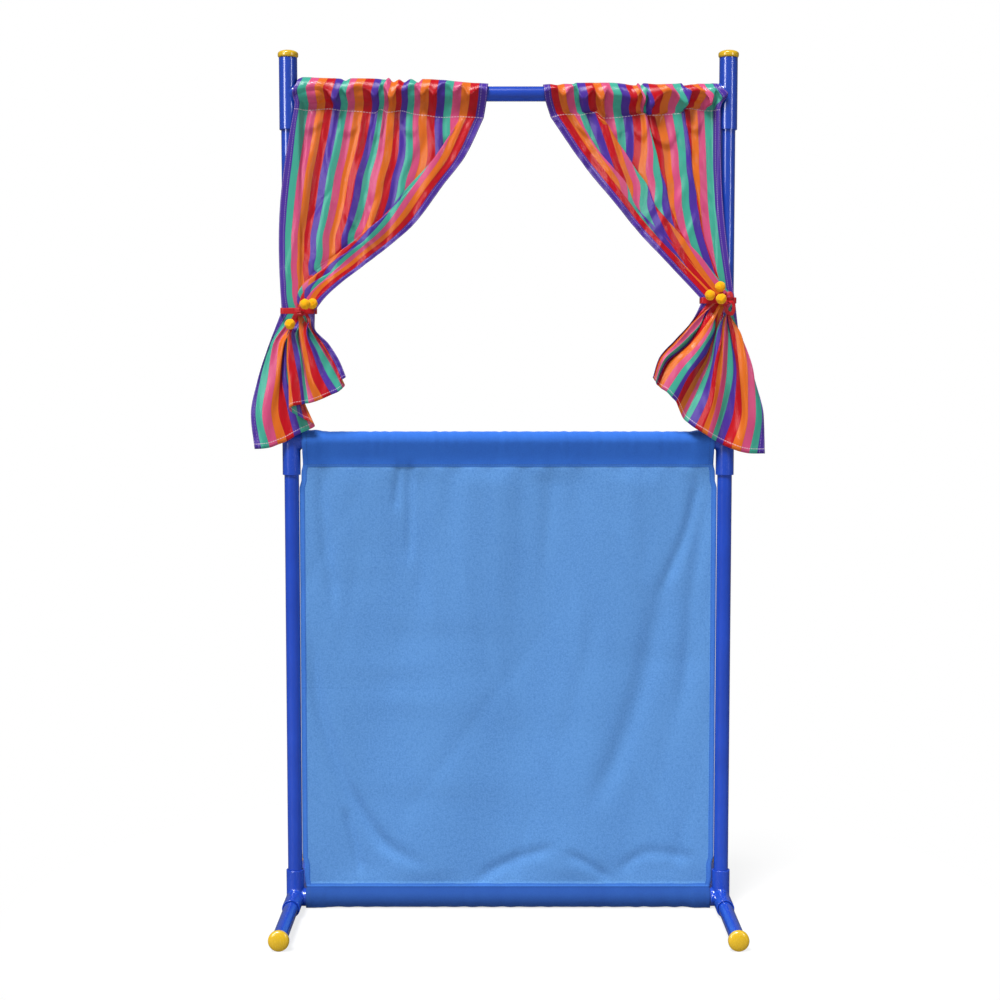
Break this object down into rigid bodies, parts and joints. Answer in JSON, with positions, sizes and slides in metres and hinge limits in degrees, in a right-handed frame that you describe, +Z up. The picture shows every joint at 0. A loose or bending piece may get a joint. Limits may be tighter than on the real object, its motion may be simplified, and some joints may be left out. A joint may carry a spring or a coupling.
{
  "type": "puppet theater stand",
  "caption": "Knock-down puppet theater stand: push-fit tube frame on cross feet, striped tied-back curtains on the top rail and a cloth front panel below the stage opening.",
  "frame": {"origin": "on the floor, midway between the posts and midway between the front and rear foot caps", "axes": "+X the audience's right, +Y away from the audience towards the puppeteer, +Z up"},
  "size_m": [0.6989, 0.3886, 1.1783],
  "materials": {
    "blue_tube": "smooth glossy extruded plastic, mid blue",
    "blue_fitting": "moulded plastic, mid blue, slightly satin",
    "yellow_cap": "moulded plastic, warm yellow, soft sheen",
    "striped_satin": "polyester satin in upright purple, teal, pink, orange and red stripes",
    "blue_cloth": "thin plain-woven cloth, light blue, darker where it is double",
    "red_ribbon": "satin ribbon, red",
    "yellow_yarn": "fuzzy yarn pompom, golden yellow"
  },
  "bodies": {
    "stand": {"left_top_tee": "blue_fitting", "left_middle_tee": "blue_fitting", "left_base_connector": "blue_fitting", "left_upper_post": "blue_tube", "left_lower_post": "blue_tube", "left_front_foot_tube": "blue_tube", "left_front_foot_cap": "yellow_cap", "left_rear_foot_tube": "blue_tube", "left_rear_foot_cap": "yellow_cap", "left_top_cap": "yellow_cap", "left_curtain_drape": "striped_satin", "left_tie_band": "red_ribbon", "left_tie_bow": "red_ribbon", "left_pompom_1": "yellow_yarn", "left_pompom_2": "yellow_yarn", "left_pompom_3": "yellow_yarn", "right_top_tee": "blue_fitting", "right_middle_tee": "blue_fitting", "right_base_connector": "blue_fitting", "right_upper_post": "blue_tube", "right_lower_post": "blue_tube", "right_front_foot_tube": "blue_tube", "right_front_foot_cap": "yellow_cap", "right_rear_foot_tube": "blue_tube", "right_rear_foot_cap": "yellow_cap", "right_top_cap": "yellow_cap", "right_curtain_drape": "striped_satin", "right_tie_band": "red_ribbon", "right_tie_bow": "red_ribbon", "right_pompom_1": "yellow_yarn", "right_pompom_2": "yellow_yarn", "right_pompom_3": "yellow_yarn", "top_rail": "blue_tube", "middle_rail": "blue_tube", "bottom_rail": "blue_tube", "front_panel": "blue_cloth", "panel_top_pocket": "blue_cloth", "panel_bottom_pocket": "blue_cloth"},
    "left_curtain": {"left_curtain_header": "striped_satin"},
    "right_curtain": {"right_curtain_header": "striped_satin"}
  },
  "joints": [
    {"name": "left_curtain_slide", "type": "slide", "parent": "stand", "child": "left_curtain", "axis": [1, 0, 0], "range_m": [0, 0.036]},
    {"name": "right_curtain_slide", "type": "slide", "parent": "stand", "child": "right_curtain", "axis": [-1, 0, 0], "range_m": [0, 0.036]}
  ]
}
